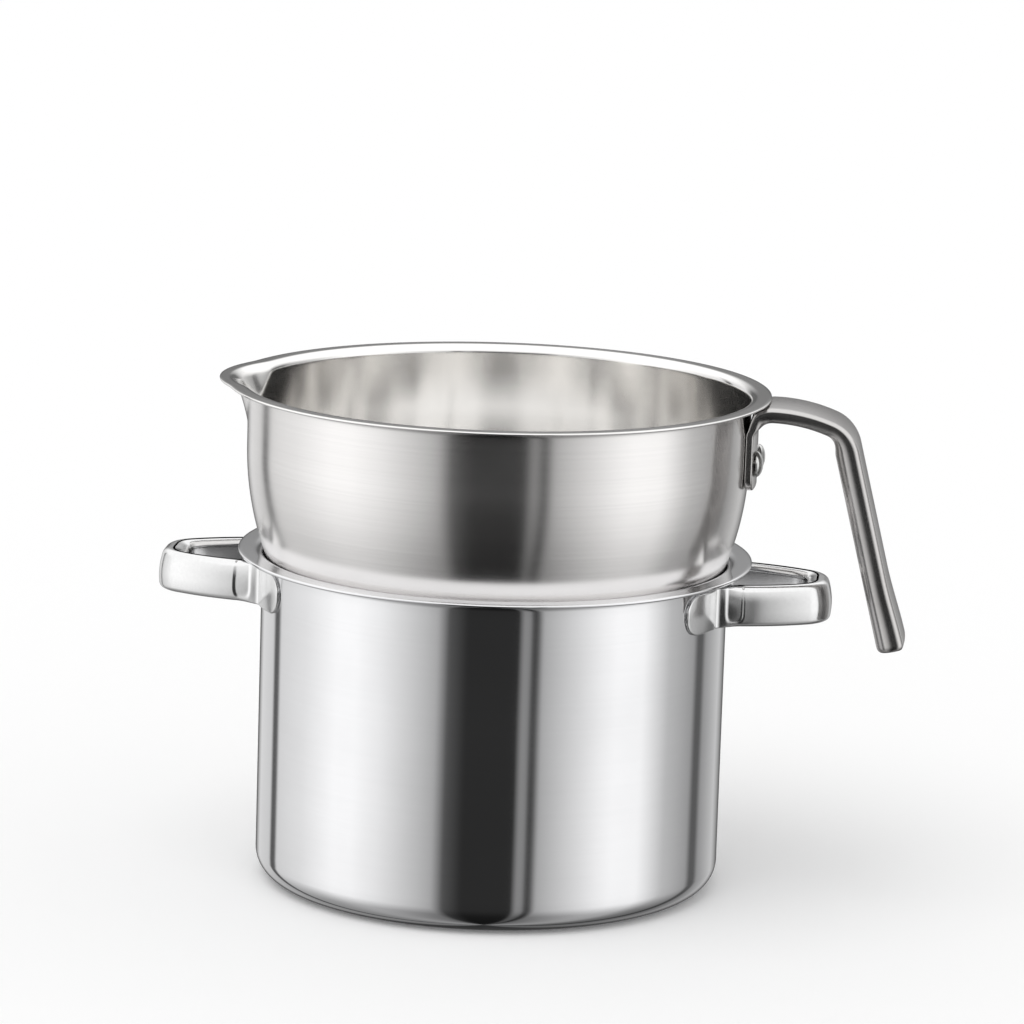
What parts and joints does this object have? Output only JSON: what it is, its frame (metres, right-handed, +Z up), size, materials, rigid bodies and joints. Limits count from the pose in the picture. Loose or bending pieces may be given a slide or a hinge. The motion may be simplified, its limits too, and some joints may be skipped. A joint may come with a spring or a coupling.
{
  "type": "double boiler",
  "caption": "Straight-sided steel pot with side loop handles, and a round-bellied bowl with a pouring spout and bent strap handle that sits in the pot's mouth to melt food over hot water.",
  "frame": {"origin": "Centre of the flat base of the pot, where it stands on the stove.", "axes": "+Z is up, the way the bowl lifts out. The pot's loop handles lie along X, the bowl's strap handle points to +X and its pouring spout to -X."},
  "size_m": [0.2605, 0.188, 0.1746],
  "materials": {
    "polished_steel": "mirror-polished stainless steel",
    "satin_steel": "satin stainless steel outside, turned round the axis, and polished inside",
    "handle_steel": "polished stainless steel",
    "rivet_steel": "plain stainless steel"
  },
  "bodies": {
    "pot": {"pot_shell": "polished_steel", "pot_handle_right": "handle_steel", "pot_handle_left": "handle_steel"},
    "bowl": {"bowl_shell": "satin_steel", "bowl_handle": "handle_steel", "bowl_rivet_front": "rivet_steel", "bowl_rivet_back": "rivet_steel"}
  },
  "joints": [
    {"name": "bowl_lift", "type": "slide", "parent": "pot", "child": "bowl", "axis": [0, 0, 1], "range_m": [0, 0.09]}
  ]
}
